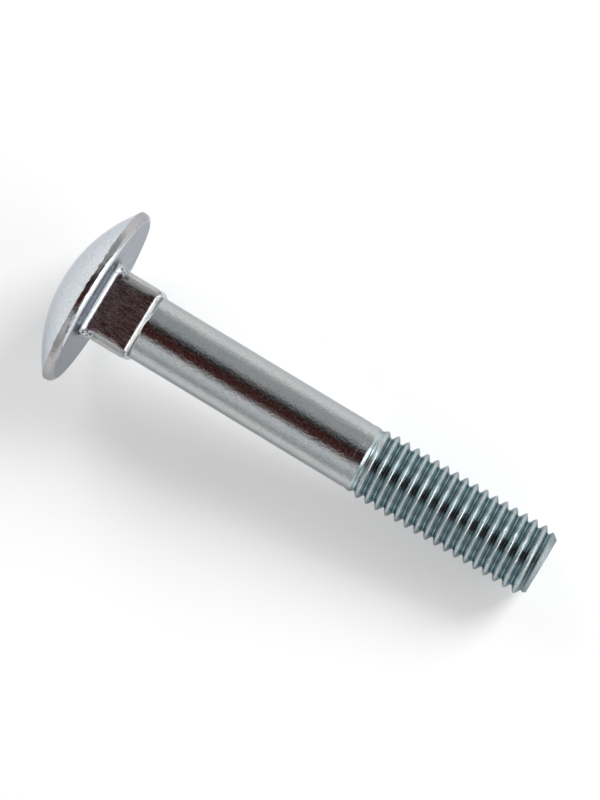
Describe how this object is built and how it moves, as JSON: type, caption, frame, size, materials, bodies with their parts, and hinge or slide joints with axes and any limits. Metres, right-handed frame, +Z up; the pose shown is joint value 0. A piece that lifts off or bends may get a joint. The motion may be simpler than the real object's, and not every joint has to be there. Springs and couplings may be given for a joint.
{
  "type": "carriage bolt",
  "caption": "Domed-head bolt with a square neck, a plain shank and a coarse right-hand thread, lying on its side.",
  "frame": {"origin": "on the ground, under the middle of the lying bolt's bounding box", "axes": "+X along the bolt from its head towards its thread end, level; +Y across it; +Z up"},
  "size_m": [0.0856, 0.03, 0.0298],
  "materials": {
    "zinc_plate": "bright zinc plate on cold forged steel, satin, with a faint blue cast"
  },
  "bodies": {
    "root": {"carriage_bolt": "zinc_plate"}
  },
  "joints": []
}
